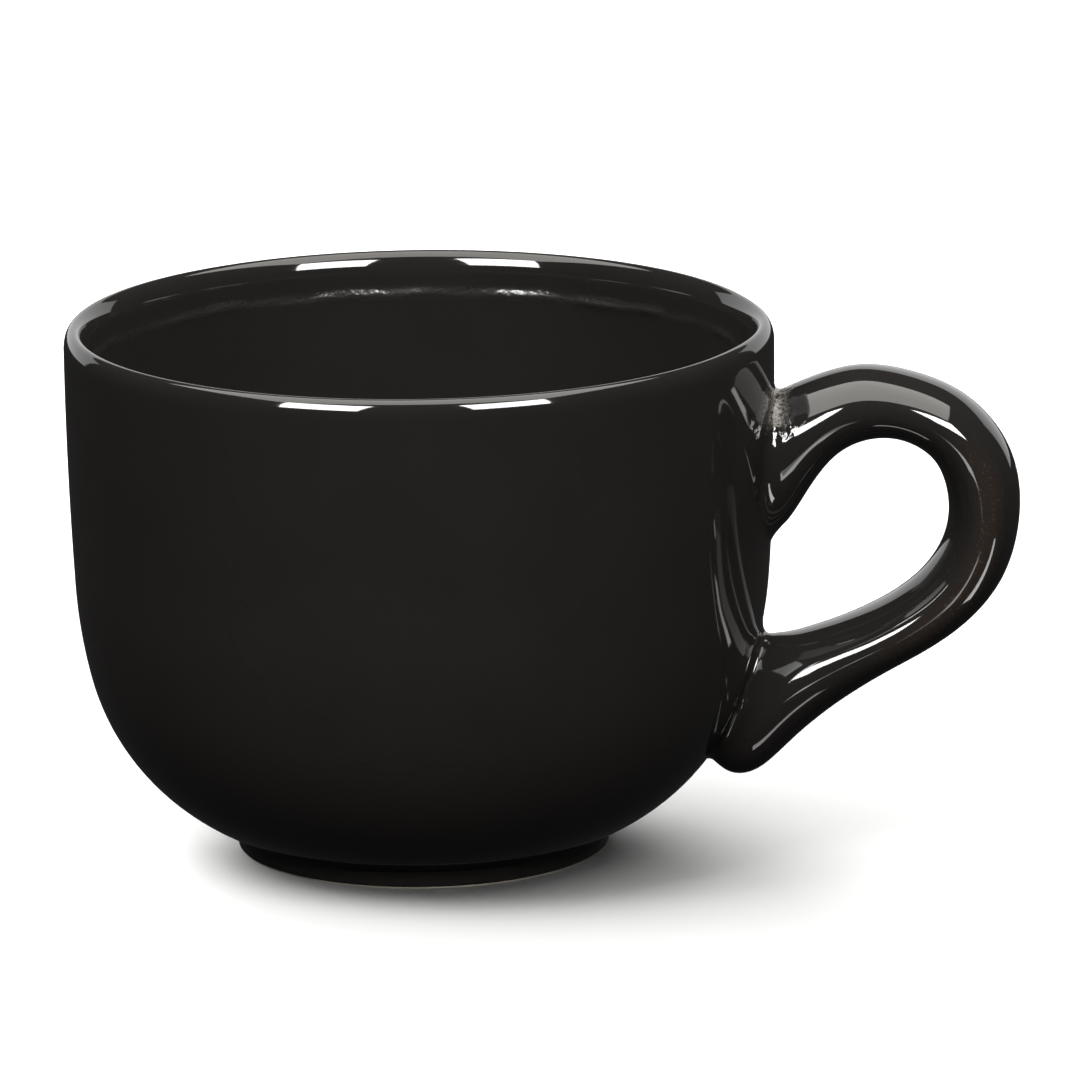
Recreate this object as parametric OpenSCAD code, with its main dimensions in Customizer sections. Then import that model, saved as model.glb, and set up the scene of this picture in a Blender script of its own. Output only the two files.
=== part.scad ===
// Latte mug: a wide stoneware cup on a low foot ring, with one looped handle luted on with slip,
// glazed black all over except for the bare clay at the bottom of the foot ring.
// Z is the cup's axis, Z = 0 is the table and the handle points along +X.

/* [Cup] */
// Diameter at the lip, where the cup is widest
rim_d = 108; // [104:1:112]
// Height from the table to the top of the lip
cup_h = 82; // [80:1:86]
// Thickness of the rounded lip
lip_t = 3.1; // [2.6:0.1:3.6]
// Height at which the nearly upright wall turns into the belly
belly_top = 42; // [40:1:44]
// Height at which the belly turns into the heel
heel_top = 27.8; // [26:0.2:30]
// Height of the flat floor inside the cup
floor_z = 8; // [7:0.5:9]

/* [Foot ring] */
// Diameter of the foot ring's upright collar
foot_d = 57.2; // [54:0.2:60]
// Height of the collar, up to the underside of the cup
foot_h = 2.9; // [2.4:0.1:3.6]
// Width of the ring of clay
foot_w = 4.6; // [3.6:0.2:6]
// Depth of the recess inside the ring
recess_h = 2.2; // [1.6:0.1:2.6]
// Rounding of the ring's bottom edges
foot_round = 1; // [0.6:0.1:1.2]

/* [Handle] */
// Width of the handle from side to side, across its oval section
handle_w = 18; // [16:0.5:20]
// Width of the slip smoothed round each root of the handle
slip_w = 2.6; // [1.8:0.2:3]

/* [Glaze] */
// Thickness of the coat of glaze
glaze_t = 0.4; // [0.3:0.05:0.6]
// Height above the table at which the glaze stops on the foot ring
glaze_line = 0.4; // [0.3:0.05:0.6]

/* [Hidden] */
$fn = 256;

clay = [0.74, 0.70, 0.62];
black_glaze = [0.09, 0.085, 0.08];

rim_r = rim_d / 2;
foot_r = foot_d / 2;
foot_in_r = foot_r - foot_w;
lip_r = lip_t / 2;
lip_z = cup_h - lip_r;
lip_c = [rim_r - lip_r, lip_z];

// Outer surface: three arcs that run into each other, wall, belly and heel.
// Each has a centre, a radius and the slope, in degrees off upright, at which the next one takes over.
wall_bow = 700;
belly_bow = 76;
wall_c = [rim_r - wall_bow, lip_z];
belly_slope = asin((lip_z - belly_top) / wall_bow);
belly_c = along(wall_c, wall_bow - belly_bow, belly_slope);
heel_slope = asin((belly_c[1] - heel_top) / belly_bow);
heel_in = [-cos(heel_slope), sin(heel_slope)];
to_foot = [foot_r, foot_h] - along(belly_c, belly_bow, heel_slope);
heel_bow = (to_foot * to_foot) / (2 * to_foot * heel_in);
heel_c = along(belly_c, belly_bow - heel_bow, heel_slope);

// Inner surface: the same three arcs, set in by the lip's thickness and ending level with the floor.
in_wall_bow = 420;
in_belly_bow = 66;
in_heel_rise = 4;
in_wall_c = [rim_r - lip_t - in_wall_bow, lip_z];
in_belly_slope = asin((lip_z - belly_top) / in_wall_bow);
in_belly_c = along(in_wall_c, in_wall_bow - in_belly_bow, in_belly_slope);
in_heel_top = heel_top + in_heel_rise;
in_heel_slope = asin((in_belly_c[1] - in_heel_top) / in_belly_bow);
in_heel_bow = (in_heel_top - floor_z) / (1 - sin(in_heel_slope));
in_heel_c = along(in_belly_c, in_belly_bow - in_heel_bow, in_heel_slope);

// A point at a distance from a centre, at a slope below the level, and its height to a thousandth.
function along(c, r, slope) = c + r * [cos(slope), -sin(slope)];
function height_along(c, r, slope) = snap(along(c, r, slope)[1]);
function snap(z) = round(z * 1000) / 1000;

// Height at which the heel, set in by d, meets the collar, set in as much.
function foot_top(d) = snap(heel_c[1] - sqrt(pow(heel_bow - d, 2) - pow(foot_r - d - heel_c[0], 2)));

// Outer radius of the cup at a height, set in by d.
function arc_r(c, r, z) = c[0] + sqrt(r * r - pow(z - c[1], 2));
function outer_r(z, d) =
    z > height_along(belly_c, belly_bow - d, belly_slope) ? arc_r(wall_c, wall_bow - d, z) :
    z > height_along(heel_c, heel_bow - d, heel_slope) ? arc_r(belly_c, belly_bow - d, z) :
    arc_r(heel_c, heel_bow - d, z);

// What lies between the axis and an arc, from one height to another.
module slab(c, r, low, high) {
    seam = max(c[0], 0);
    intersection() {
        translate(c) circle(r);
        translate([seam, low]) square([rim_d, high - low]);
    }
    if (seam > 0) translate([0, low]) square([seam, high - low]);
}

// Half section of the cup's outer form above the foot ring, set in by d.
module outer_form(d) {
    belly_z = height_along(belly_c, belly_bow - d, belly_slope);
    heel_z = height_along(heel_c, heel_bow - d, heel_slope);
    slab(wall_c, wall_bow - d, belly_z, lip_z);
    slab(belly_c, belly_bow - d, heel_z, belly_z);
    slab(heel_c, heel_bow - d, foot_top(d), heel_z);
}

// Half section of the space inside the cup, up to the lip, grown by d.
module inner_form(d) {
    belly_z = height_along(in_belly_c, in_belly_bow + d, in_belly_slope);
    heel_z = height_along(in_heel_c, in_heel_bow + d, in_heel_slope);
    slab(in_wall_c, in_wall_bow + d, belly_z, lip_z);
    slab(in_belly_c, in_belly_bow + d, heel_z, belly_z);
    slab(in_heel_c, in_heel_bow + d, floor_z - d, heel_z);
}

// Quarter of a disc, on the side of its centre given by the signs sx and sz.
module quarter(c, r, sx, sz) {
    intersection() {
        translate(c) circle(r);
        translate([sx > 0 ? c[0] : c[0] - r, sz > 0 ? c[1] : c[1] - r]) square(r);
    }
}

// Half section of the clay foot ring, with both bottom edges rounded.
module foot_section() {
    out = foot_r - glaze_t;
    quarter([out - foot_round, foot_round], foot_round, 1, -1);
    quarter([foot_in_r + foot_round, foot_round], foot_round, -1, -1);
    translate([foot_in_r + foot_round, 0]) square([foot_w - glaze_t - 2 * foot_round, foot_round]);
    translate([foot_in_r, foot_round]) square([foot_w - glaze_t, foot_top(glaze_t) - foot_round]);
    translate([0, recess_h]) square([foot_in_r, foot_top(glaze_t) - recess_h]);
}

// The jiggered clay: wall, floor and foot ring in one.
module cup_body() {
    color(clay) rotate_extrude() {
        difference() {
            outer_form(glaze_t);
            inner_form(glaze_t);
        }
        quarter(lip_c, lip_r - glaze_t, 1, 1);
        quarter(lip_c, lip_r - glaze_t, -1, 1);
        foot_section();
    }
}

// Handle stations from the upper root round the loop to the tail, each with its outer edge's x and z,
// its inner edge's x and z and its share of the handle's width, for a mug of this diameter and height.
drawn_d = 108;
drawn_h = 82;
stations = [
    [54.0, 70.5, 53.7, 48.7, 1.06],
    [58.3, 72.65, 57.7, 52.65, 1.03],
    [66.05, 75.05, 63.45, 60.95, 1.00],
    [74.35, 74.5, 71.15, 64.3, 1.00],
    [83.2, 70.95, 77.1, 62.55, 1.00],
    [89.75, 64.05, 80.25, 58.55, 1.00],
    [92.2, 54.5, 81.2, 52.2, 1.00],
    [89.8, 42.9, 79.0, 45.8, 1.00],
    [82.65, 34.25, 74.05, 40.65, 1.00],
    [74.1, 28.8, 67.3, 36.8, 1.00],
    [65.95, 23.85, 61.05, 34.45, 1.00],
    [58.2, 17.75, 57.1, 33.35, 0.96],
    [52.4, 12.4, 54.9, 33.1, 0.88],
    [47.7, 11.3, 53.5, 33.1, 0.78],
    [44.4, 13.6, 52.4, 34.0, 0.66],
];
last = len(stations) - 1;
sides = 32;
rings_per_station = 3;
// Each root: its station, where along the stations its slip ends at the handle's outer edge and elsewhere,
// and the share of the slip's width at the root's outer and inner edges.
upper_root = [0, 0.45, 0.6, 0.45, 0.5];
lower_root = [last, last - 0.2, last - 0.45, 0.2, 0.9];
slip_steps = 4;
cap_rings = 4;

// A station, carried on past both ends in a straight line.
function station(i) =
    i < 0 ? 2 * stations[0] - stations[1] :
    i > last ? 2 * stations[last] - stations[last - 1] :
    stations[i];

// Smooth curve through the stations.
function spline(a, b, c, d, t) =
    b + t / 2 * (c - a + t * (2 * a - 5 * b + 4 * c - d + t * (3 * (b - c) + d - a)));
function station_at(s) =
    let (i = min(floor(s), last - 1))
    spline(station(i - 1), station(i), station(i + 1), station(i + 2), s - i);

// A point of the handle's elliptical section, at a place along the stations and at an angle from its
// outer edge, set in by d and grown at the outer edge, the inner edge and the sides.
function section_point(s, angle, d, grow) =
    let (q = station_at(s))
    let (outer = [q[0] * rim_d / drawn_d, q[1] * cup_h / drawn_h])
    let (inner = [q[2] * rim_d / drawn_d, q[3] * cup_h / drawn_h])
    let (half = (outer - inner) / 2)
    let (reach = norm(half) - d + (cos(angle) > 0 ? grow[0] : grow[1]))
    let (p = (outer + inner) / 2 + half * cos(angle) * reach / norm(half))
    [p[0], (handle_w / 2 * q[4] - d + grow[2]) * sin(angle), p[1]];
angles = [for (k = [0:sides - 1]) 360 * k / sides];
function section(s, d, grow = [0, 0, 0]) = [for (angle = angles) section_point(s, angle, d, grow)];

// A ring of points moved along X on to the cup's surface, set in by d.
function on_cup(ring, d) = [for (p = ring) [sqrt(pow(outer_r(p[2], d), 2) - p[1] * p[1]), p[1], p[2]]];

// The handle's seat on the cup at a root, and the edges of the slip round it, on the cup and on the handle.
function seat(root, d) = on_cup(section(root[0], d), d);
function slip_edge(root, d) = on_cup(section(root[0], 0, slip_w * [root[3], root[4], 1]), d);
function slip_top(root, d) =
    [for (angle = angles)
        let (share = pow(max(cos(angle), 0), 2))
        section_point(root[2] + (root[1] - root[2]) * share, angle, d, [0, 0, 0])];

// Hollow curve of the slip, from its edge on the cup up to the handle, tangent to both.
function bend(edge, corner, top, t) = (1 - t) * (1 - t) * edge + 2 * t * (1 - t) * corner + t * t * top;
function slip(root, d) =
    let (edge = slip_edge(root, d), corner = seat(root, d), top = slip_top(root, d))
    [for (j = [0:slip_steps]) [for (k = [0:sides - 1]) bend(edge[k], corner[k], top[k], j / slip_steps)]];

// Sections of the free part of the handle, between the two beads of slip.
function loop_rings(d) =
    [for (j = [rings_per_station:rings_per_station * lower_root[2]]) section(j / rings_per_station, d)];

function reversed(list) = [for (j = [len(list) - 1:-1:0]) list[j]];
function flat(rings) = [for (ring = rings) each ring];

// The two triangles between neighbouring points of rings a and b.
function strip(a, b) =
    [for (k = [0:sides - 1])
        let (n = (k + 1) % sides)
        each [[a * sides + k, a * sides + n, b * sides + n], [a * sides + k, b * sides + n, b * sides + k]]];

// Solid bounded by rings in order, the last joined to the first.
module ring_solid(rings) {
    count = len(rings);
    polyhedron(flat(rings), [for (j = [0:count - 1]) each strip(j, (j + 1) % count)]);
}

// Rings from a seat's middle out to its rim, all on the cup's surface, and that middle point.
function seat_middle(ring, d) = on_cup([(ring[0] + ring[sides / 2]) / 2], d)[0];
function seat_rings(ring, d) =
    let (middle = seat_middle(ring, d))
    [for (j = [1:cap_rings]) on_cup([for (p = ring) middle + (p - middle) * j / cap_rings], d)];

// The pressed clay handle, whose ends are cut to the curve of the cup.
module handle() {
    upper = seat(upper_root, glaze_t);
    lower = seat(lower_root, glaze_t);
    rings = concat(seat_rings(upper, glaze_t), [slip_top(upper_root, glaze_t)], loop_rings(glaze_t),
                   [slip_top(lower_root, glaze_t)], reversed(seat_rings(lower, glaze_t)));
    count = len(rings);
    first_tip = count * sides;
    last_ring = (count - 1) * sides;
    points = concat(flat(rings), [seat_middle(upper, glaze_t), seat_middle(lower, glaze_t)]);
    faces = concat(
        [for (k = [0:sides - 1]) [first_tip, (k + 1) % sides, k]],
        [for (j = [0:count - 2]) each strip(j, j + 1)],
        [for (k = [0:sides - 1]) [last_ring + k, last_ring + (k + 1) % sides, first_tip + 1]]);
    color(clay) polyhedron(points, faces);
}

// The bead of slip smoothed round the upper root.
module upper_slip_joint() {
    color(clay) ring_solid(concat(slip(upper_root, glaze_t), [seat(upper_root, glaze_t)]));
}

// The bead of slip smoothed round the lower root and its tail.
module lower_slip_joint() {
    color(clay) ring_solid(concat(reversed(slip(lower_root, glaze_t)), [seat(lower_root, glaze_t)]));
}

// Column along X that stands on the outline of a slip joint.
module slip_window(root) {
    outline = [for (p = slip_edge(root, 0)) [p[1], p[2]]];
    rotate([90, 0, 90]) translate([0, 0, foot_in_r]) linear_extrude(rim_r) polygon(outline);
}

// Coat on the outside, from the foot ring to the top of the lip, open where the handle is luted on.
module outer_glaze() {
    color(black_glaze) difference() {
        rotate_extrude() {
            difference() {
                outer_form(0);
                outer_form(glaze_t);
                translate([0, foot_top(0)]) square([foot_r - glaze_t, foot_top(glaze_t) - foot_top(0)]);
            }
            difference() {
                quarter(lip_c, lip_r, 1, 1);
                quarter(lip_c, lip_r - glaze_t, 1, 1);
            }
            translate([foot_r - glaze_t, glaze_line]) square([glaze_t, foot_top(0) - glaze_line]);
        }
        slip_window(upper_root);
        slip_window(lower_root);
    }
}

// Liner poured inside the cup, from the floor to the top of the lip.
module inner_glaze() {
    color(black_glaze) rotate_extrude() {
        difference() {
            inner_form(glaze_t);
            inner_form(0);
        }
        difference() {
            quarter(lip_c, lip_r, -1, 1);
            quarter(lip_c, lip_r - glaze_t, -1, 1);
        }
    }
}

// Coat on the handle and over both beads of slip, out to the coat on the cup.
function coat_rings(d) =
    concat(slip(upper_root, d), loop_rings(d), reversed(slip(lower_root, d)));
module handle_glaze() {
    color(black_glaze) ring_solid(concat(coat_rings(0), reversed(coat_rings(glaze_t))));
}

// Coat on the roof of the recess inside the foot ring, which the wiped ring leaves bare all round.
module foot_recess_glaze() {
    color(black_glaze) translate([0, 0, recess_h - glaze_t]) cylinder(h = glaze_t, r = foot_in_r - glaze_t);
}

cup_body();
handle();
upper_slip_joint();
lower_slip_joint();
outer_glaze();
inner_glaze();
handle_glaze();
foot_recess_glaze();
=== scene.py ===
"""Latte mug: a wide stoneware cup with a looped handle, glazed gloss black over a bare clay foot."""
import math

import bpy
import numpy as np
from mathutils import Matrix, Vector, noise


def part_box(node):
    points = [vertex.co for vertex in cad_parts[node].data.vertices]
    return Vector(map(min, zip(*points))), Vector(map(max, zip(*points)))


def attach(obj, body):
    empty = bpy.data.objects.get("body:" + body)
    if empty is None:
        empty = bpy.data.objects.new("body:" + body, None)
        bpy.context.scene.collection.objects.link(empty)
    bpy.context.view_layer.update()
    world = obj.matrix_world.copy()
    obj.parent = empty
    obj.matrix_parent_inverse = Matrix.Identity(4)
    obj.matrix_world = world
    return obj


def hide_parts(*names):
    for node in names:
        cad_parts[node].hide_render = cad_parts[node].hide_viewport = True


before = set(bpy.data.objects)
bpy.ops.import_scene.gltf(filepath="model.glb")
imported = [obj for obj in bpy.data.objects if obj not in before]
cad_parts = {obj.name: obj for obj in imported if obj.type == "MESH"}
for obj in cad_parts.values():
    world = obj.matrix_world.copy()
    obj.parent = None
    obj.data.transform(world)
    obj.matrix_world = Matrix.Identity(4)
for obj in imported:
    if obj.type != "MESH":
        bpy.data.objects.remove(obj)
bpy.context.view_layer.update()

# Clay cup: the jiggered stoneware body, wall, floor and foot ring in one.
# It is turned on a wheel against a template, so its section is a row of arcs swept round the axis.
# Only the wiped foot ring shows, because glaze covers the rest.
MM = 0.001
coat_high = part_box("outer_glaze")[1]
roof_low, roof_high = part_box("foot_recess_glaze")
liner_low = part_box("inner_glaze")[0]
rim_r = coat_high.y / MM
cup_h = coat_high.z / MM
glaze_t = (roof_high.z - roof_low.z) / MM
recess_h = roof_high.z / MM
floor_z = liner_low.z / MM + glaze_t
foot_w = 4.6
foot_in_r = roof_high.y / MM + glaze_t
foot_r = foot_in_r + foot_w
foot_h = 2.9
foot_round = 1.0
wiped_round = 0.2
lip_r = 1.55
lip_z = cup_h - lip_r
lip_drop = 3.0
belly_top = 42.0
heel_top = 27.8
wheel_segments = 256
# Points drawn along each arc of the section.
heel_steps, belly_steps, wall_steps, lip_steps = 22, 10, 12, 18
in_lip_steps, floor_steps = 20, 4
foot_steps, wiped_steps = 8, 5


def along(centre, radius, slope):
    """The point of an arc at a slope below the level, in radians."""
    return np.array(centre) + radius * np.array([math.cos(slope), -math.sin(slope)])


def arc(centre, radius, first, last, steps):
    """Points of an arc between two slopes, both ends included."""
    return [along(centre, radius, first + (last - first) * i / steps) for i in range(steps + 1)]


# Outer surface: wall, belly and heel run into each other, and the heel ends at the foot ring's collar.
wall_bow = 700.0
belly_bow = 76.0
wall_c = np.array([rim_r - wall_bow, lip_z])
belly_slope = math.asin((lip_z - belly_top) / wall_bow)
belly_c = along(wall_c, wall_bow - belly_bow, belly_slope)
heel_slope = math.asin((belly_c[1] - heel_top) / belly_bow)
to_foot = np.array([foot_r, foot_h]) - along(belly_c, belly_bow, heel_slope)
heel_in = np.array([-math.cos(heel_slope), math.sin(heel_slope)])
heel_bow = to_foot @ to_foot / (2 * to_foot @ heel_in)
heel_c = along(belly_c, belly_bow - heel_bow, heel_slope)
foot_slope = math.asin((heel_c[1] - foot_h) / heel_bow)

# Inner surface: the same three arcs, ending level with the floor. The upper quarter of the wall is drawn
# finer, because a ridge of glaze lies on it.
in_wall_bow = 420.0
in_belly_bow = 66.0
in_heel_rise = 4.0
fine_share = 0.25
fine_steps = 50
in_heel_top = heel_top + in_heel_rise
in_lip_round = 1.9
in_lip_drop = 4.0
in_wall_c = np.array([rim_r - lip_r - in_lip_round - in_wall_bow, cup_h - in_lip_round])
in_belly_slope = math.asin((in_wall_c[1] - belly_top) / in_wall_bow)
in_belly_c = along(in_wall_c, in_wall_bow - in_belly_bow, in_belly_slope)
in_heel_slope = math.asin((in_belly_c[1] - in_heel_top) / in_belly_bow)
in_heel_bow = (in_heel_top - floor_z) / (1 - math.sin(in_heel_slope))
in_heel_c = along(in_belly_c, in_belly_bow - in_heel_bow, in_heel_slope)


def lip(half_w, depth, rise, first, last, steps):
    """Points of the lip, an oval quarter that rolls over from the wall to its top or down again."""
    rolls = [first + (last - first) * i / steps for i in range(steps + 1)]
    return [np.array([rim_r - lip_r + half_w * math.cos(a), cup_h - depth + rise * math.sin(a)])
            for a in rolls]


def outer_outline(inset):
    """Outer surface of the cup from the collar up to the top of the lip, set in by a thickness."""
    at_collar = math.acos((foot_r - inset - heel_c[0]) / (heel_bow - inset))
    at_lip = math.asin((lip_drop - lip_r) / wall_bow)
    return (arc(heel_c, heel_bow - inset, at_collar, heel_slope, heel_steps)
            + arc(belly_c, belly_bow - inset, heel_slope, belly_slope, belly_steps)[1:]
            + arc(wall_c, wall_bow - inset, belly_slope, at_lip, wall_steps)[1:]
            + lip(lip_r - inset, lip_drop, lip_drop - inset, 0, math.pi / 2, lip_steps)[1:])


def inner_outline(inset):
    """Inner surface from the top of the lip down to the middle of the floor, set in by a thickness."""
    at_lip = math.asin((in_lip_drop - in_lip_round) / in_wall_bow)
    fine_end = in_belly_slope * fine_share
    return (lip(in_lip_round - inset, in_lip_drop, in_lip_drop - inset, math.pi / 2, math.pi, in_lip_steps)
            + arc(in_wall_c, in_wall_bow + inset, at_lip, fine_end, fine_steps)[1:]
            + arc(in_wall_c, in_wall_bow + inset, fine_end, in_belly_slope, wall_steps)[1:]
            + arc(in_belly_c, in_belly_bow + inset, in_belly_slope, in_heel_slope, belly_steps)[1:]
            + arc(in_heel_c, in_heel_bow + inset, in_heel_slope, math.pi / 2, heel_steps)[1:]
            + [np.array([in_heel_c[0] * i / floor_steps, floor_z - inset])
               for i in reversed(range(floor_steps))])


def add_node(tree, kind, inputs=None, **settings):
    """Adds a node with its settings, and joins or sets its inputs."""
    made = tree.nodes.new(kind)
    for name, value in settings.items():
        setattr(made, name, value)
    for name, value in (inputs or {}).items():
        if isinstance(value, bpy.types.NodeSocket):
            tree.links.new(value, made.inputs[name])
        else:
            made.inputs[name].default_value = value
    return made


# The wheel: turns an outline, drawn as a row of points in X and Z, round the Z axis. The wall near the
# handle is drawn outwards a little, because the drying handle pulls the soft clay with it.
seam_gap = 1e-7
wheel = bpy.data.node_groups.new("turn_on_wheel", "GeometryNodeTree")
wheel_sockets = {}
for socket_name, socket_kind in (("Outline", "NodeSocketGeometry"), ("Points", "NodeSocketInt"),
                                 ("Segments", "NodeSocketInt"), ("Pull", "NodeSocketFloat"),
                                 ("Pull half angle", "NodeSocketFloat"), ("Pull from", "NodeSocketFloat"),
                                 ("Pull full at", "NodeSocketFloat"), ("Surface", "NodeSocketMaterial")):
    made_socket = wheel.interface.new_socket(socket_name, in_out="INPUT", socket_type=socket_kind)
    wheel_sockets[socket_name] = made_socket.identifier
wheel.interface.new_socket("Turned", in_out="OUTPUT", socket_type="NodeSocketGeometry")
given = add_node(wheel, "NodeGroupInput").outputs
columns = add_node(wheel, "ShaderNodeMath", {0: given["Segments"], 1: 1.0}, operation="ADD")
sheet = add_node(wheel, "GeometryNodeMeshGrid",
                 {"Vertices X": columns.outputs[0], "Vertices Y": given["Points"]})
index = add_node(wheel, "GeometryNodeInputIndex")
step = add_node(wheel, "ShaderNodeMath", {0: index.outputs[0], 1: given["Points"]}, operation="MODULO")
turn = add_node(wheel, "ShaderNodeMath", {0: index.outputs[0], 1: given["Points"]}, operation="DIVIDE")
turn = add_node(wheel, "ShaderNodeMath", {0: turn.outputs[0]}, operation="FLOOR")
turn = add_node(wheel, "ShaderNodeMath", {0: turn.outputs[0], 1: given["Segments"]}, operation="DIVIDE")
angle = add_node(wheel, "ShaderNodeMath", {0: turn.outputs[0], 1: math.tau}, operation="MULTIPLY")
place = add_node(wheel, "GeometryNodeInputPosition")
drawn = add_node(wheel, "GeometryNodeSampleIndex",
                 {"Geometry": given["Outline"], "Index": step.outputs[0]}, data_type="FLOAT_VECTOR")
wheel.links.new(place.outputs[0], drawn.inputs["Value"])
drawn = add_node(wheel, "ShaderNodeSeparateXYZ", {0: drawn.outputs["Value"]})
off_handle = add_node(wheel, "ShaderNodeMath", {0: angle.outputs[0], 1: math.pi}, operation="PINGPONG")
near_handle = add_node(wheel, "ShaderNodeMapRange",
                       {"Value": off_handle.outputs[0], "From Min": 0.0, "To Min": 1.0, "To Max": 0.0,
                        "From Max": given["Pull half angle"]}, interpolation_type="SMOOTHSTEP")
up_wall = add_node(wheel, "ShaderNodeMapRange",
                   {"Value": drawn.outputs["Z"], "From Min": given["Pull from"],
                    "From Max": given["Pull full at"]}, interpolation_type="SMOOTHSTEP")
pulled = add_node(wheel, "ShaderNodeMath", {0: near_handle.outputs[0], 1: up_wall.outputs[0]},
                  operation="MULTIPLY")
radius = add_node(wheel, "ShaderNodeMath",
                  {0: pulled.outputs[0], 1: given["Pull"], 2: drawn.outputs["X"]}, operation="MULTIPLY_ADD")
cosine = add_node(wheel, "ShaderNodeMath", {0: angle.outputs[0]}, operation="COSINE")
sine = add_node(wheel, "ShaderNodeMath", {0: angle.outputs[0]}, operation="SINE")
x = add_node(wheel, "ShaderNodeMath", {0: radius.outputs[0], 1: cosine.outputs[0]}, operation="MULTIPLY")
y = add_node(wheel, "ShaderNodeMath", {0: radius.outputs[0], 1: sine.outputs[0]}, operation="MULTIPLY")
point = add_node(wheel, "ShaderNodeCombineXYZ",
                 {"X": x.outputs[0], "Y": y.outputs[0], "Z": drawn.outputs["Z"]})
turned = add_node(wheel, "GeometryNodeSetPosition",
                  {"Geometry": sheet.outputs["Mesh"], "Position": point.outputs[0]})
turned = add_node(wheel, "GeometryNodeMergeByDistance",
                  {"Geometry": turned.outputs[0], "Distance": seam_gap})
turned = add_node(wheel, "GeometryNodeRealizeInstances", {0: turned.outputs[0]})
turned = add_node(wheel, "GeometryNodeSetMaterial",
                  {"Geometry": turned.outputs[0], "Material": given["Surface"]})
add_node(wheel, "NodeGroupOutput", {0: turned.outputs[0]})

# How far the wall is pulled out, over which part of a turn, and from which height up, in millimetres.
wall_pull = 0.75
pull_half_angle = math.radians(26)
pull_from = 24.0
pull_full_at = 46.0
sharp_angle = math.radians(38)


def finish_mesh(piece):
    """Points a closed mesh outwards, smooths it and keeps its hard edges."""
    mesh = piece.data
    corners = np.array([mesh.vertices[i].co for face in mesh.polygons for i in face.vertices[:3]])
    corners = corners.reshape(-1, 3, 3)
    if np.einsum("ij,ij->i", corners[:, 0], np.cross(corners[:, 1], corners[:, 2])).sum() < 0:
        mesh.flip_normals()
    mesh.shade_smooth()
    mesh.set_sharp_from_angle(angle=sharp_angle)


def turned_piece(name, outline, surface, pull=0.0):
    """A closed piece of the cup, made by turning a closed outline in millimetres on the wheel."""
    mesh = bpy.data.meshes.new(name)
    rows = [(r * MM, 0.0, z * MM) for r, z in outline]
    mesh.from_pydata(rows, [(i, i + 1) for i in range(len(rows) - 1)], [])
    piece = bpy.data.objects.new(name, mesh)
    bpy.context.scene.collection.objects.link(piece)
    turning = piece.modifiers.new("turning", "NODES")
    turning.node_group = wheel
    for socket, value in (("Points", len(rows)), ("Segments", wheel_segments), ("Pull", pull * MM),
                          ("Pull half angle", pull_half_angle), ("Pull from", pull_from * MM),
                          ("Pull full at", pull_full_at * MM), ("Surface", surface)):
        turning[wheel_sockets[socket]] = value
    evaluated = piece.evaluated_get(bpy.context.evaluated_depsgraph_get())
    shaped = bpy.data.meshes.new_from_object(evaluated)
    piece.modifiers.clear()
    piece.data = shaped
    shaped.name = name
    bpy.data.meshes.remove(mesh)
    finish_mesh(piece)
    return piece


def linear(code):
    """A colour written as an sRGB hex value, as the linear colour that a shader takes."""
    shares = [int(code[i:i + 2], 16) / 255 for i in (1, 3, 5)]
    return [c / 12.92 if c <= 0.04045 else ((c + 0.055) / 1.055) ** 2.4 for c in shares] + [1.0]


# Stoneware clay, fired and wiped clean with a sponge: dry and matt, a warm grey beige with darker grog,
# its skin pitted where the sponge has lifted grains.
wiped_stoneware = bpy.data.materials.new("wiped_stoneware_clay")
wiped_stoneware.use_nodes = True
tree = wiped_stoneware.node_tree
clay_shader = tree.nodes["Principled BSDF"]
spot = add_node(tree, "ShaderNodeTexCoord")
cloud_mm = 6.0
grog_mm = 0.55
grog_core, grog_edge = 0.12, 0.3
grog_strength = 0.55
pit_mm = 0.3
pit_depth, pit_strength = 0.05, 0.6
least_dry, most_dry = 0.72, 0.95
cloud = add_node(tree, "ShaderNodeTexNoise",
                 {"Vector": spot.outputs["Object"], "Scale": 1 / (cloud_mm * MM), "Detail": 4.0})
grog = add_node(tree, "ShaderNodeTexVoronoi",
                {"Vector": spot.outputs["Object"], "Scale": 1 / (grog_mm * MM)})
pits = add_node(tree, "ShaderNodeTexNoise",
                {"Vector": spot.outputs["Object"], "Scale": 1 / (pit_mm * MM), "Detail": 3.0})
clay_tone = add_node(tree, "ShaderNodeMix", {0: cloud.outputs["Fac"], 6: linear("#a89f8c"),
                                             7: linear("#c9c1ae")}, data_type="RGBA")
grain = add_node(tree, "ShaderNodeMapRange",
                 {"Value": grog.outputs["Distance"], "From Min": grog_core, "From Max": grog_edge,
                  "To Min": grog_strength, "To Max": 0.0})
clay_tone = add_node(tree, "ShaderNodeMix", {0: grain.outputs[0], 6: clay_tone.outputs[2],
                                             7: linear("#6d5f4c")}, data_type="RGBA")
dryness = add_node(tree, "ShaderNodeMapRange",
                   {"Value": pits.outputs["Fac"], "To Min": least_dry, "To Max": most_dry})
pitting = add_node(tree, "ShaderNodeBump", {"Strength": pit_strength, "Distance": pit_depth * MM,
                                            "Height": pits.outputs["Fac"]})
tree.links.new(clay_tone.outputs[2], clay_shader.inputs["Base Color"])
tree.links.new(dryness.outputs[0], clay_shader.inputs["Roughness"])
tree.links.new(pitting.outputs[0], clay_shader.inputs["Normal"])

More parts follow.
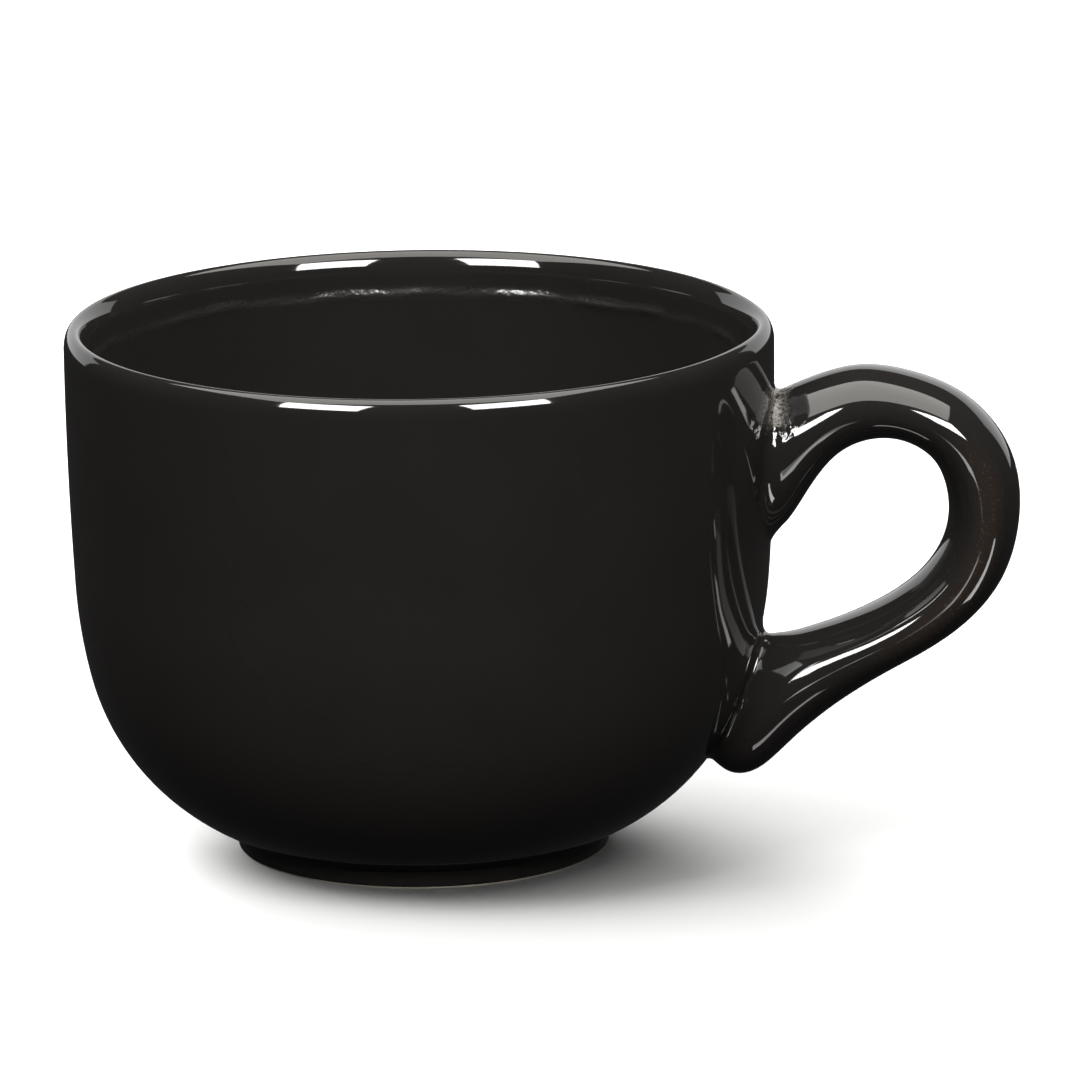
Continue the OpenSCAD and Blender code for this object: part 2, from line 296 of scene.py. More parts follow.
foot_out_r = foot_r - glaze_t
foot_ring = (arc([foot_in_r + foot_round, foot_round], foot_round, math.pi, math.pi / 2, foot_steps)
             + arc([foot_out_r - wiped_round, wiped_round], wiped_round, math.pi / 2, 0, wiped_steps))
clay_outline = ([np.array([0.0, recess_h]), np.array([foot_in_r, recess_h])] + foot_ring
                + outer_outline(glaze_t) + inner_outline(glaze_t) + [np.array([0.0, recess_h])])
clay_cup = turned_piece("clay_cup", clay_outline, wiped_stoneware, wall_pull)
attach(clay_cup, "root")
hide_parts("cup_body")

# Handle and slip: the pressed clay loop and the two beads of slip that lute it to the cup.
# They are fired in one with the cup, and lie wholly under the glaze.
for joined in ("handle", "upper_slip_joint", "lower_slip_joint"):
    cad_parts[joined].data.materials.clear()
    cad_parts[joined].data.materials.append(wiped_stoneware)

# Outer coat: black glaze that the cup was dipped in, from the foot ring over the lip to a little way in.
# It ends in a soft bead just above the bottom of the foot ring, where it was wiped off before firing, and
# pools in the corner over the foot ring's collar.
glaze_line = 0.25
bead = 0.5
bead_turn = math.pi / 2 * 0.9
pool_round = 0.7
pool_gap = 0.3
curve_steps = 8
lip_overlap = 4.0

# Gloss black glaze: a glass skin stained by iron and manganese, so near black with a warm cast, mirror
# bright, and a thinner brown with fine iron specks where it ran off a bend while it was molten. It is dull
# and crumbly where two glazes overlap and where the handle was luted. Pale grey beige flecks are painted at
# the top of the luted root, as a painted reflection of the pale overhead panel in its lumps.
black_glaze = bpy.data.materials.new("black_gloss_glaze")
black_glaze.use_nodes = True
tree = black_glaze.node_tree
glass = tree.nodes["Principled BSDF"]
glass.inputs["IOR"].default_value = 1.5
spot = add_node(tree, "ShaderNodeTexCoord")
thin = add_node(tree, "ShaderNodeAttribute", attribute_name="glaze_thin")
matt = add_node(tree, "ShaderNodeAttribute", attribute_name="overlap_matt")
luted = add_node(tree, "ShaderNodeAttribute", attribute_name="luted_rough")
# This mark places the painted reflection: pale flecks standing in for the overhead panel mirrored in the
# luted lumps.
panel_sheen_attr = add_node(tree, "ShaderNodeAttribute", attribute_name="painted_panel_sheen")
drift_mm = 14.0
ripple_mm, ripple_depth = 9.0, 0.012
crumb_mm, crumb_depth = 0.8, 0.1
speck_mm = 0.4
speck_from, speck_full = 0.6, 0.7
panel_sheen_from, panel_sheen_full = 0.36, 0.62
most_polished, least_polished = 0.03, 0.07
overlap_roughness = 0.25
depth = add_node(tree, "ShaderNodeTexNoise",
                 {"Vector": spot.outputs["Object"], "Scale": 1 / (drift_mm * MM), "Detail": 3.0})
ripple = add_node(tree, "ShaderNodeTexNoise",
                  {"Vector": spot.outputs["Object"], "Scale": 1 / (ripple_mm * MM), "Detail": 1.0})
crumbs = add_node(tree, "ShaderNodeTexNoise",
                  {"Vector": spot.outputs["Object"], "Scale": 1 / (crumb_mm * MM), "Detail": 1.0})
specks = add_node(tree, "ShaderNodeTexNoise",
                  {"Vector": spot.outputs["Object"], "Scale": 1 / (speck_mm * MM), "Detail": 2.0})

# Its colour: the stain, browner where it is thin, with specks of iron, and pale flecks of painted reflection
# at the luted root.
stain = add_node(tree, "ShaderNodeMix", {0: depth.outputs["Fac"], 6: linear("#201e1d"),
                                         7: linear("#252321")}, data_type="RGBA")
stain = add_node(tree, "ShaderNodeMix", {0: thin.outputs["Fac"], 6: stain.outputs[2],
                                         7: linear("#2c2622")}, data_type="RGBA")
iron = add_node(tree, "ShaderNodeMapRange", {"Value": specks.outputs["Fac"], "From Min": speck_from,
                                             "From Max": speck_full})
iron = add_node(tree, "ShaderNodeMath", {0: iron.outputs[0], 1: thin.outputs["Fac"]}, operation="MULTIPLY")
stain = add_node(tree, "ShaderNodeMix", {0: iron.outputs[0], 6: stain.outputs[2],
                                         7: linear("#453a33")}, data_type="RGBA")
# Pale grey beige flecks, a painted reflection of the overhead panel, at the top of the luted root.
panel_sheen_flecks = add_node(tree, "ShaderNodeMapRange", {"Value": specks.outputs["Fac"], "From Min": panel_sheen_from,
                                               "From Max": panel_sheen_full})
panel_sheen_flecks = add_node(tree, "ShaderNodeMath", {0: panel_sheen_flecks.outputs[0], 1: panel_sheen_attr.outputs["Fac"]},
                  operation="MULTIPLY")
stain = add_node(tree, "ShaderNodeMix", {0: panel_sheen_flecks.outputs[0], 6: stain.outputs[2],
                                         7: linear("#77726a")}, data_type="RGBA")
tree.links.new(stain.outputs[2], glass.inputs["Base Color"])

# Its polish, and its slow ripple with the crumbs over it.
polish = add_node(tree, "ShaderNodeMapRange", {"Value": depth.outputs["Fac"], "To Min": most_polished,
                                               "To Max": least_polished})
polish = add_node(tree, "ShaderNodeMath",
                  {0: matt.outputs["Fac"], 1: overlap_roughness, 2: polish.outputs[0]},
                  operation="MULTIPLY_ADD")
tree.links.new(polish.outputs[0], glass.inputs["Roughness"])
flow = add_node(tree, "ShaderNodeBump", {"Strength": 1.0, "Distance": ripple_depth * MM,
                                         "Height": ripple.outputs["Fac"]})
crumbs = add_node(tree, "ShaderNodeMath", {0: crumbs.outputs["Fac"], 1: luted.outputs["Fac"]},
                  operation="MULTIPLY")
flow = add_node(tree, "ShaderNodeBump", {"Strength": 1.0, "Distance": crumb_depth * MM,
                                         "Height": crumbs.outputs[0], "Normal": flow.outputs[0]})
tree.links.new(flow.outputs[0], glass.inputs["Normal"])


def coat(outline, thickness):
    """A closed outline: an open one and its copy set in by a thickness on the side of the clay."""
    row = np.array(outline)
    ahead = np.gradient(row, axis=0)
    ahead /= np.linalg.norm(ahead, axis=1)[:, None]
    inner = row + thickness * np.stack([-ahead[:, 1], ahead[:, 0]], 1)
    inner[:, 0] = np.maximum(inner[:, 0], 0)
    return list(row) + list(inner[::-1]) + [row[0]]


# From the bead at the bottom, over the hollow curve of the pool, up the wall and over the lip.
underside = np.array([math.sin(foot_slope), math.cos(foot_slope)])
corner = np.array([foot_r, foot_h])
pool_reach = pool_round / math.tan((math.pi - foot_slope) / 2)
pool = [corner - [0, pool_reach], corner + underside * pool_reach]
pool_curve = [(1 - t) ** 2 * pool[0] + 2 * t * (1 - t) * corner + t * t * pool[1]
              for t in np.linspace(0, 1, curve_steps)]
bead_curve = arc([foot_r - bead, glaze_line + bead], bead, bead_turn, 0, curve_steps)
inside = [p for p in inner_outline(0) if p[1] > cup_h - lip_overlap]
overlap_end = inside[-1]
clear_of_pool = [p for p in outer_outline(0) if p[0] > pool[1][0] + pool_gap]
outside_outline = coat(bead_curve + pool_curve + clear_of_pool + inside[1:], glaze_t)
outside_coat = turned_piece("glaze_outside", outside_outline, black_glaze, wall_pull)
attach(outside_coat, "root")
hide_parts("outer_glaze")

# Liner: the glaze poured into the cup and out again, from the overlap below the lip to the floor.
# It meets the outer coat without a step, because both melted together in the kiln.
below_lip = [p for p in inner_outline(0) if p[1] <= overlap_end[1]]
liner = turned_piece("glaze_inside", coat(below_lip, glaze_t), black_glaze, wall_pull)


def mark(mesh, name, shares):
    """Writes a share for each point of a mesh, as an attribute that its glaze reads."""
    mesh.attributes.new(name, "FLOAT", "POINT").data.foreach_set("value", shares)


# The two glazes swell in a low wavy ridge where they overlap. In millimetres: its level under the lip, how
# far it drifts, its height, half its width, the length of its waves, and how far off the lip it stays.
ridge_below, ridge_drift = 6.6, 0.5
ridge_h, ridge_w = 0.26, 0.75
ridge_wave = 9.0
off_lip = 0.5
# As shares of its height: what stands all round, what rises and falls, and what finer beads add, with how
# often these two come in one wave. Then its reach and its rough part in half widths, and how crumbly it is.
ridge_mean, ridge_swing, ridge_beads = 0.45, 1.4, 0.35
swing_waves, bead_waves = 1.5, 7
ridge_reach = 4
ridge_rough_w = 1.5
ridge_crumbs = 1.2
for glazed in (outside_coat, liner):
    points = np.empty(3 * len(glazed.data.vertices))
    glazed.data.vertices.foreach_get("co", points)
    points = points.reshape(-1, 3) / MM
    r = np.hypot(points[:, 0], points[:, 1])
    above_ridge = points[:, 2] - cup_h + ridge_below
    near_ridge = (r < rim_r - lip_r - off_lip) & (np.abs(above_ridge) < ridge_reach * ridge_w)
    roughness = np.zeros(len(points))
    for i in np.nonzero(near_ridge)[0]:
        round_wall = Vector((points[i, 0], points[i, 1], 0)) / ridge_wave
        off_ridge = above_ridge[i] - ridge_drift * noise.noise(round_wall)
        unevenness = (ridge_mean + ridge_swing * noise.noise(round_wall * swing_waves)
                      + ridge_beads * noise.noise(round_wall * bead_waves))
        swell = ridge_h * max(unevenness, 0) * math.exp(-(off_ridge / ridge_w) ** 2)
        points[i, :2] *= 1 - swell / r[i]
        roughness[i] = math.exp(-(off_ridge / ridge_w / ridge_rough_w) ** 2)
    glazed.data.vertices.foreach_set("co", (points * MM).reshape(-1))
    mark(glazed.data, "overlap_matt", roughness)
    mark(glazed.data, "luted_rough", ridge_crumbs * roughness)
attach(liner, "root")
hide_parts("inner_glaze")

# Handle coat: the glaze over the clay loop and over the slip smoothed round its two roots.
# The loop is a pressed rod that flares into the cup above and runs down it in a rounded tail below.
# Each station holds the outer edge's x and z, the inner edge's x and z, and a share of the width.
stations = np.array([
    [54.0, 70.5, 53.7, 48.7, 1.06],
    [58.3, 72.65, 57.7, 52.65, 1.03],
    [66.05, 75.05, 63.45, 60.95, 1.00],
    [74.35, 74.5, 71.15, 64.3, 1.00],
    [83.2, 70.95, 77.1, 62.55, 1.00],
    [89.75, 64.05, 80.25, 58.55, 1.00],
    [92.2, 54.5, 81.2, 52.2, 1.00],
    [89.8, 42.9, 79.0, 45.8, 1.00],
    [82.65, 34.25, 74.05, 40.65, 1.00],
    [74.1, 28.8, 67.3, 36.8, 1.00],
    [65.95, 23.85, 61.05, 34.45, 1.00],
    [58.2, 17.75, 57.1, 33.35, 1.00],
    [52.4, 12.4, 54.9, 33.1, 0.96],
    [47.7, 11.3, 53.5, 33.1, 0.86],
    [44.4, 13.6, 52.4, 34.0, 0.70],
])
handle_w = 18.0
slip_w = 2.6
last = len(stations) - 1
handle_sides = 128
loop_rings = 230
slip_rings = 18
under_step = 8
# Each root: its station, where the slip ends at the outer edge and elsewhere, and its share at both edges.
upper_root = (0, 0.75, 0.6, 0.75, 0.5)
lower_root = (last, last - 0.2, last - 0.8, 0.2, 0.9)
# The rod's section is a little egg-shaped, fuller towards its outer edge.
egg = 0.03
round_angle = np.arange(handle_sides) * math.tau / handle_sides
facing_out = np.cos(round_angle)

# Natural cubic spline through the stations, so that reflections run along the loop without a break.
bends = 4 * np.eye(last + 1) + np.eye(last + 1, k=1) + np.eye(last + 1, k=-1)
bends[0] = np.eye(last + 1)[0]
bends[last] = np.eye(last + 1)[last]
pulls = np.zeros_like(stations)
pulls[1:-1] = 6 * (stations[2:] - 2 * stations[1:-1] + stations[:-2])
curl = np.linalg.solve(bends, pulls)


def station_at(s):
    """Edges and width of the loop at places along the stations."""
    i = np.clip(np.floor(s).astype(int), 0, last - 1)
    t = (s - i)[:, None]
    return ((1 - t) * stations[i] + t * stations[i + 1]
            + ((1 - t) ** 3 - (1 - t)) * curl[i] / 6 + (t ** 3 - t) * curl[i + 1] / 6)


def section(s, grow=(0, 0, 0)):
    """One ring at places along the stations, grown at its outer edge, its inner edge and its sides."""
    q = station_at(s)
    half = (q[:, 0:2] - q[:, 2:4]) / 2
    reach = np.linalg.norm(half, axis=1)
    swell = 1 + np.where(facing_out > 0, grow[0], grow[1]) / reach
    off_middle = facing_out * swell + egg * np.sin(round_angle) ** 2
    middle = (q[:, 0:2] + q[:, 2:4]) / 2 + half * off_middle[:, None]
    side = (handle_w / 2 * q[:, 4] + grow[2]) * np.sin(round_angle)
    return np.stack([middle[:, 0], side, middle[:, 1]], 1)


def smooth_share(value, low, high):
    """A share that rises smoothly from 0 at low to 1 at high."""
    t = np.clip((value - low) / (high - low), 0, 1)
    return t * t * (3 - 2 * t)


def on_wall(ring, lift=0.0):
    """A ring moved along X on to the outer surface of the pulled wall, and lifted off it."""
    z = ring[:, 2]
    wall = wall_c[0] + np.sqrt(wall_bow ** 2 - (z - wall_c[1]) ** 2)
    belly = belly_c[0] + np.sqrt(belly_bow ** 2 - (z - belly_c[1]) ** 2)
    heel = heel_c[0] + np.sqrt(heel_bow ** 2 - np.minimum(np.abs(z - heel_c[1]), heel_bow) ** 2)
    wall_end = along(belly_c, belly_bow, belly_slope)[1]
    r = np.where(z > wall_end, wall, np.where(z > heel_top, belly, heel))
    off_axis = np.abs(np.arcsin(np.clip(ring[:, 1] / r, -1, 1)))
    r = r + lift + wall_pull * ((1 - smooth_share(off_axis, 0, pull_half_angle))
                                * smooth_share(z, pull_from, pull_full_at))
    return np.stack([np.sqrt(r ** 2 - ring[:, 1] ** 2), ring[:, 1], z], 1)


# The slip ends on the cup in a feather edge: how wide it is and how far it stands off the cup's own coat.
# Its hollow keeps to the cup and to the rod for a share of its way. A nudge finds which way the rod runs.
feather_w = 0.5
feather_lift = 0.012
slip_hold = 0.62
nudge = 0.01


def slip_top(root):
    """Where the slip ends along the stations, for each point round the loop."""
    return root[2] + (root[1] - root[2]) * np.maximum(facing_out, 0) ** 2


def slip_curves(root, way):
    """Rings of a bead of slip, from a feather edge on the cup up to the handle, tangent to both."""
    at = np.full(handle_sides, float(root[0]))
    spread = slip_w * np.array([root[3], root[4], 1.0])
    feather = on_wall(section(at, spread + feather_w), feather_lift)
    edge = on_wall(section(at, spread), feather_lift)
    seat = on_wall(section(at))
    top_s = slip_top(root)
    top = section(top_s)
    run = section(top_s + nudge * way) - section(top_s - nudge * way)
    run /= np.linalg.norm(run, axis=1)[:, None]
    first = edge + slip_hold * (seat - edge)
    second = top - run * slip_hold * np.linalg.norm(top - seat, axis=1)[:, None]
    rings = [feather]
    for t in np.linspace(0, 1, slip_rings):
        rings.append((1 - t) ** 3 * edge + 3 * t * (1 - t) ** 2 * first + 3 * t * t * (1 - t) * second
                     + t ** 3 * top)
    return rings


upper_s = slip_top(upper_root)
lower_s = slip_top(lower_root)
loop = [section(upper_s + (lower_s - upper_s) * i / loop_rings) for i in range(1, loop_rings)]
skin = np.array(slip_curves(upper_root, 1) + loop + slip_curves(lower_root, -1)[::-1])
ring_count = len(skin)

# Outward normals of the skin, from its neighbours along and round the loop.
lengthwise = np.gradient(skin, axis=0)
crosswise = np.roll(skin, -1, axis=1) - np.roll(skin, 1, axis=1)
normal = np.cross(lengthwise, crosswise)
normal /= np.linalg.norm(normal, axis=2)[:, :, None]

# The hand that smoothed the slip left soft dents along the loop, and small lumps where the upper root was
# luted: sizes in millimetres, with how wide they are and how far they stand out.
dent_mm, dent_depth = 7.0, 0.05
lump_mm, lump_height = 0.9, 0.1
# Dents fade out over a share of the rings at each end, and on the outermost part of the bend. Lumps grow
# from one height to another, end between two places along X, and start past the feather edge.
dent_fade = 0.08
dent_end_x = (88, 91.5)
luted_z, luted_end_x = (64.5, 67), (57, 58.5)
luted_from = (0.004, 0.03)
ring_share = np.linspace(0, 1, ring_count)[:, None]
free = smooth_share(ring_share, 0, dent_fade) * smooth_share(1 - ring_share, 0, dent_fade)
free = free * (1 - smooth_share(skin[:, :, 0], *dent_end_x))
at_top = (smooth_share(skin[:, :, 2], *luted_z) * (1 - smooth_share(skin[:, :, 0], *luted_end_x))
          * smooth_share(ring_share, *luted_from))
dents = np.array([[noise.noise(Vector(p) / dent_mm) for p in ring] for ring in skin])
lumps = np.array([[noise.noise(Vector(p) / lump_mm) for p in ring] for ring in skin])
skin_out = skin + normal * (dents * dent_depth * free + lumps * lump_height * at_top)[:, :, None]

# Under side of the coat, on the clay, with fewer rings.
under_rows = list(range(0, ring_count, under_step)) + [ring_count - 1]
under = (skin - normal * glaze_t)[under_rows[::-1]]
rings = np.concatenate([skin_out, under])
faces = []
for a in range(len(rings)):
    b = (a + 1) % len(rings)
    for k in range(handle_sides):
        n = (k + 1) % handle_sides
        faces.append((a * handle_sides + k, a * handle_sides + n,
                      b * handle_sides + n, b * handle_sides + k))
handle_mesh = bpy.data.meshes.new("glaze_handle")
handle_mesh.from_pydata([tuple(p) for p in rings.reshape(-1, 3) * MM], [], faces)
handle_mesh.materials.append(black_glaze)

# Glaze runs thin over the sides of the loop's bend, between these stations and between these turns to its
# outer edge. Pale grey beige flecks, a painted reflection of the overhead panel, lie at the very top of the
# luted root, in millimetres.
thin_from, thin_to = (4.2, 5.8), (7.5, 9.5)
thin_inward, thin_outward = (-0.45, 0.1), (0.25, 0.75)
panel_sheen_z, panel_sheen_end_x = (66.8, 69), (56, 57.5)
s_at = upper_s + (lower_s - upper_s) * ring_share
on_bend = (smooth_share(s_at, *thin_from) * (1 - smooth_share(s_at, *thin_to))
           * smooth_share(facing_out, *thin_inward) * (1 - smooth_share(facing_out, *thin_outward)))
# Where the painted reflection lies: pale flecks at the very top of the luted root.
panel_sheen_mask = (at_top * smooth_share(skin[:, :, 2], *panel_sheen_z)
        * (1 - smooth_share(skin[:, :, 0], *panel_sheen_end_x)))
for name, share in (("glaze_thin", on_bend), ("luted_rough", at_top), ("painted_panel_sheen", panel_sheen_mask)):
    shares = np.zeros(len(rings) * handle_sides)
    shares[:ring_count * handle_sides] = share.reshape(-1)
    mark(handle_mesh, name, shares)
handle_coat = bpy.data.objects.new("glaze_handle", handle_mesh)
bpy.context.scene.collection.objects.link(handle_coat)
finish_mesh(handle_coat)
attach(handle_coat, "root")
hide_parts("handle_glaze")

# Recess coat: the disc of glaze left on the roof of the foot recess when the ring round it was wiped.
# Surface tension rounds its edge and leaves it a little thinner in the middle.
disc_r = roof_high.y / MM
disc_edge = 0.35
disc_steps, disc_edge_steps = 14, 6
middle_dip = 0.08
disc_face = [np.array([r, recess_h - glaze_t + middle_dip * (1 - (r / disc_r) ** 2)])
             for r in np.linspace(0, disc_r - disc_edge, disc_steps)]
disc_rim = arc([disc_r - disc_edge, recess_h - glaze_t + disc_edge], disc_edge, math.pi / 2, 0,
               disc_edge_steps)
disc_back = [np.array([disc_r, recess_h]), np.array([0.0, recess_h])]
disc_outline = disc_face + disc_rim + disc_back + [disc_face[0]]
recess_coat = turned_piece("glaze_recess", disc_outline, black_glaze)
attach(recess_coat, "root")
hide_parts("foot_recess_glaze")

# Floor: a plain pale table top that takes the soft shadow and fades into the white behind it.
# It is matt, and glows a little outside the near shadow, so that it meets the white without a line.
floor_reach = 1.2
floor_corners = 96
floor_glow = 0.08
glow_from, glow_full_at = 40.0, 80.0


def seen_itself(tree):
    """One on the rays that show a surface: from the camera, in a mirror or through glass."""
    ray = add_node(tree, "ShaderNodeLightPath")
    direct = add_node(tree, "ShaderNodeMath",
                      {0: ray.outputs["Is Camera Ray"], 1: ray.outputs["Is Glossy Ray"]},
                      operation="MAXIMUM")
    return add_node(tree, "ShaderNodeMath", {0: direct.outputs[0], 1: ray.outputs["Is Transmission Ray"]},
                    operation="MAXIMUM")


floor_mesh = bpy.data.meshes.new("floor")
floor_mesh.from_pydata([(floor_reach * math.cos(i * math.tau / floor_corners),
                         floor_reach * math.sin(i * math.tau / floor_corners), 0.0)
                        for i in range(floor_corners)], [], [tuple(range(floor_corners))])
floor = bpy.data.objects.new("floor", floor_mesh)
bpy.context.scene.collection.objects.link(floor)
# Pale matt table: painted board with no sheen, so near white that only the shadow gives it a tone.
pale_table = bpy.data.materials.new("pale_matt_table")
pale_table.use_nodes = True
tree = pale_table.node_tree
table_shader = tree.nodes["Principled BSDF"]
table_shader.inputs["Base Color"].default_value = linear("#fafaf8")
table_shader.inputs["Roughness"].default_value = 1.0
table_shader.inputs["Specular IOR Level"].default_value = 0.0
table_shader.inputs["Emission Color"].default_value = (1, 1, 1, 1)
seen = seen_itself(tree)
spot = add_node(tree, "ShaderNodeTexCoord")
off_axis = add_node(tree, "ShaderNodeVectorMath", {0: spot.outputs["Object"]}, operation="LENGTH")
glow = add_node(tree, "ShaderNodeMapRange",
                {"Value": off_axis.outputs["Value"], "From Min": glow_from * MM,
                 "From Max": glow_full_at * MM, "To Max": floor_glow}, interpolation_type="SMOOTHSTEP")
glow = add_node(tree, "ShaderNodeMath", {0: seen.outputs[0], 1: glow.outputs[0]}, operation="MULTIPLY")
tree.links.new(glow.outputs[0], table_shader.inputs["Emission Strength"])
floor_mesh.materials.append(pale_table)

# World: the plain white room behind the mug, as the camera and reflections see it.
# On what it lights it is only a soft even fill, from the part of the room above a given height.
world = bpy.data.worlds.new("studio")
bpy.context.scene.world = world
world.use_nodes = True
tree = world.node_tree
ambient = 0.884
fill_from = math.sin(math.radians(33))
seen = seen_itself(tree)
way = add_node(tree, "ShaderNodeTexCoord")
way = add_node(tree, "ShaderNodeSeparateXYZ", {0: way.outputs["Generated"]})
above = add_node(tree, "ShaderNodeMath", {0: way.outputs["Z"], 1: fill_from}, operation="GREATER_THAN")
fill = add_node(tree, "ShaderNodeMath", {0: above.outputs[0], 1: ambient}, operation="MULTIPLY")
level = add_node(tree, "ShaderNodeMix", {0: seen.outputs[0], 2: fill.outputs[0], 3: 1.0})
tree.links.new(level.outputs[0], tree.nodes["Background"].inputs["Strength"])
tree.nodes["Background"].inputs["Color"].default_value = (1, 1, 1, 1)

# Dark cloth: black felt laid over the table up to the foot and hung round it in a dome, so that the glaze
# mirrors dark and stays black. Only reflections see it, and the floor sends no light back to the mug.
cloth_r = 1.9
cloth_glow = 0.02
cloth_under = 1.0
cloth_lift = 0.05
cloth_steps = 13
turns = [i * math.tau / floor_corners for i in range(floor_corners + 1)]
cloth_rows = [((foot_r - cloth_under) * MM, cloth_lift * MM)]
cloth_rows += [(cloth_r * math.cos(e), cloth_r * math.sin(e) + cloth_lift * MM)
               for e in np.linspace(0, math.pi / 2, cloth_steps)]
# Black felt: a deep pile with no sheen, which gives the eye only a faint even glow of stray light.
black_cloth = bpy.data.materials.new("black_felt_cloth")
black_cloth.use_nodes = True
cloth_shader = black_cloth.node_tree.nodes["Principled BSDF"]
cloth_shader.inputs["Base Color"].default_value = linear("#000000")
cloth_shader.inputs["Specular IOR Level"].default_value = 0.0
cloth_shader.inputs["Emission Color"].default_value = (1, 1, 1, 1)
cloth_shader.inputs["Emission Strength"].default_value = cloth_glow
cloth_mesh = bpy.data.meshes.new("dark_cloth")
wide = len(turns)
cloth_mesh.from_pydata(
    [(r * math.cos(a), r * math.sin(a), z) for r, z in cloth_rows for a in turns], [],
    [(j * wide + i, j * wide + i + 1, (j + 1) * wide + i + 1, (j + 1) * wide + i)
     for j in range(len(cloth_rows) - 1) for i in range(wide - 1)])
cloth_mesh.materials.append(black_cloth)
cloth = bpy.data.objects.new("dark_cloth", cloth_mesh)
bpy.context.scene.collection.objects.link(cloth)
cloth.visible_camera = False
cloth.visible_diffuse = False
cloth.visible_transmission = False
cloth.visible_shadow = False
floor.visible_diffuse = False

# Lamps: soft panels in three sets, each linked to what it is set for, as the stand-in for flags and cards:
# those that light the table and shape the shadow, those that light the clay and glaze evenly, and those that
# the glaze mirrors.
by_table = bpy.data.collections.new("table_only")
by_mug = bpy.data.collections.new("mug_only")
by_cup = bpy.data.collections.new("cup_only")
by_handle = bpy.data.collections.new("handle_only")
by_table.objects.link(floor)
for glazed in (clay_cup, outside_coat, liner, recess_coat):
    by_cup.objects.link(glazed)
    by_mug.objects.link(glazed)
by_handle.objects.link(handle_coat)
by_mug.objects.link(handle_coat)
mug_middle = Vector((0, 0, 0.05))
view_turn = math.radians(4)
turned_view = Matrix.Rotation(view_turn, 3, "Z")


def studio_point(azimuth, elevation, distance):
    """A place in the studio: azimuth from straight behind the mug to the right, in degrees."""
    a, e = math.radians(azimuth) - view_turn, math.radians(elevation)
    return distance * Vector((math.sin(a) * math.cos(e), math.cos(a) * math.cos(e), math.sin(e)))


def lamp(name, place, size, radiance, receivers, mirrored):
    """A soft panel of a given brightness, which either lights matt surfaces or is mirrored in the glaze."""
    light = bpy.data.lights.new(name, "AREA")
    light.shape = "RECTANGLE"
    light.size, light.size_y = size
    light.energy = math.pi * radiance * size[0] * size[1]
    made = bpy.data.objects.new(name, light)
    made.location = place
    made.rotation_mode = "QUATERNION"
    made.rotation_quaternion = (mug_middle - place).to_track_quat("-Z", "Y")
    made.visible_camera = False
    made.visible_diffuse = not mirrored
    made.visible_glossy = mirrored
    made.light_linking.receiver_collection = receivers
    bpy.context.scene.collection.objects.link(made)
    return made


# Each panel: its azimuth and elevation, its width and height in metres, its brightness and what it lights.
panel_away = 1.3
for name, azimuth, elevation, size, radiance, receivers in (
        ("silk_wall_left", -80, 28, (0.716, 1.21), 1.48, by_table),
        ("silk_wall_middle", -45, 28, (0.716, 1.21), 1.48, by_table),
        ("silk_wall_back", -10, 28, (0.716, 1.21), 1.48, by_table),
        ("low_back_panel", -15, 18, (1.016, 0.697), 11.65, by_table),
        ("left_panel", -105, 48, (0.689, 0.697), 3.33, by_table),
        ("high_left_panel", -135, 58, (0.539, 0.697), 4.7, by_table),
        ("front_panel", 180, 38, (1.43, 0.7), 6.4, by_mug),
        ("back_left_panel", -40, 30, (0.7, 0.6), 10.6, by_mug),
        ("back_right_panel", 45, 30, (0.7, 0.6), 10.6, by_mug)):
    lamp(name, studio_point(azimuth, elevation, panel_away), size, radiance, receivers, False)

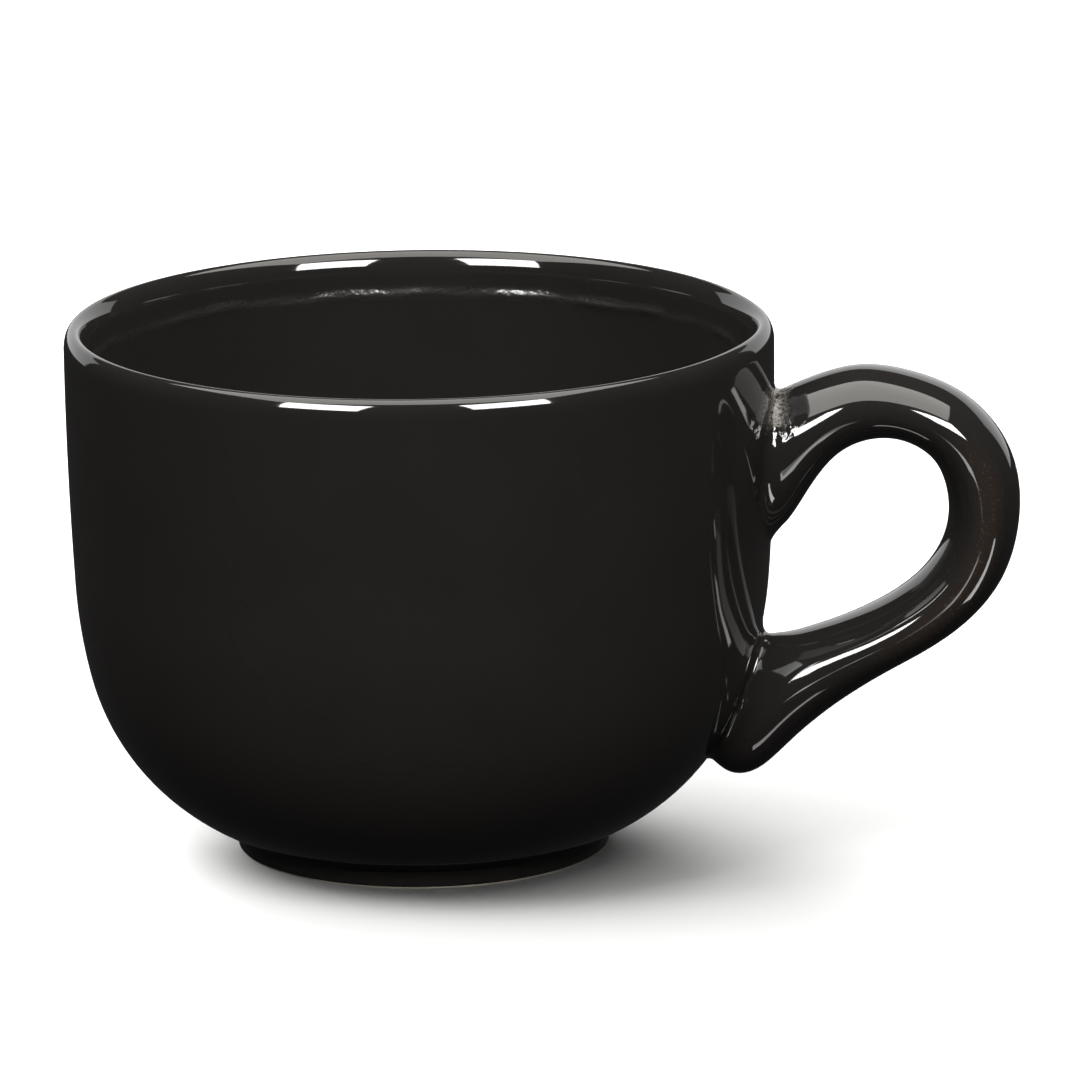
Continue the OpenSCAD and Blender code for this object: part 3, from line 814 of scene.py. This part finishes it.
# The panels that the glaze mirrors: a wide one overhead, two softboxes in front and a pale one behind.
overhead_place = turned_view @ Vector((-0.0375, -0.11, 0.9))
overhead = lamp("overhead_panel", overhead_place, (1.475, 1.0), 5.0, by_mug, True)
overhead.rotation_quaternion = turned_view.to_quaternion()
overhead.data.color = linear("#fdfaf4")[:3]
softbox_away = 1.4
softbox_up = 33
softbox_radiance = 33
for name, azimuth, size, receivers in (("left_softbox_cup", -147.5, (0.61, 0.58), by_cup),
                                       ("left_softbox_handle", -150, (0.21, 0.4), by_handle),
                                       ("right_softbox_cup", 149, (0.6, 0.54), by_cup),
                                       ("right_softbox_handle", 149, (0.6, 0.42), by_handle)):
    lamp(name, studio_point(azimuth, softbox_up, softbox_away), size, softbox_radiance, receivers, True)
backdrop_up = 14
lamp("backdrop", studio_point(0, backdrop_up, panel_away), (2.8, 0.75), 1.05, by_mug, True)

# Reflecting strips laid on the table by the handle, which put the low streaks on the handle alone: each has
# the middle of its two ends in the view's own right and back, in millimetres, its width and its brightness.
strip_height = 1.0
strips = (((114, -32), (193, -74), 16, 8.3),
          ((31, -135), (31, -208), 22, 7.0),
          ((85, -105), (85, -180), 10, 6.2),
          ((75, -105), (75, -200), 10, 2.2),
          ((47, -20), (70, -33), 5, 4.0))
for i, (start, end, width, radiance) in enumerate(strips):
    start = Vector((*start, strip_height)) * MM
    end = Vector((*end, strip_height)) * MM
    strip = lamp(f"table_strip_{i}", turned_view @ ((start + end) / 2), ((end - start).length, width * MM),
                 radiance, by_handle, True)
    strip_run = (end - start).normalized()
    across = Vector((0, 0, -1)).cross(strip_run)
    face_up = Matrix((strip_run, across, (0, 0, -1))).transposed()
    strip.rotation_quaternion = (turned_view @ face_up).to_quaternion()

# Camera: a long lens a little above the rim, turned to the mug as the photograph is.
# Its place and turns, in metres and radians, were fitted to the ovals of the lip and the foot ring.
camera_back = 1.79092
camera_height = 0.48134
yaw, pitch, roll = 0.01033, 0.23765, 0.01247
forward = Vector((math.sin(yaw) * math.cos(pitch), math.cos(yaw) * math.cos(pitch), -math.sin(pitch)))
level_right = Vector((math.cos(yaw), -math.sin(yaw), 0))
level_down = forward.cross(level_right)
right = math.cos(roll) * level_right + math.sin(roll) * level_down
down = math.cos(roll) * level_down - math.sin(roll) * level_right
lens = bpy.data.cameras.new("camera")
lens.sensor_width = 36
lens.lens = 400
lens.clip_end = 20
camera = bpy.data.objects.new("camera", lens)
look = turned_view @ Matrix((right, -down, -forward)).transposed()
stand = turned_view @ Vector((0, -camera_back, camera_height))
camera.matrix_world = Matrix.Translation(stand) @ look.to_4x4()
bpy.context.scene.collection.objects.link(camera)
bpy.context.scene.camera = camera
bpy.context.scene.view_settings.view_transform = "Standard"
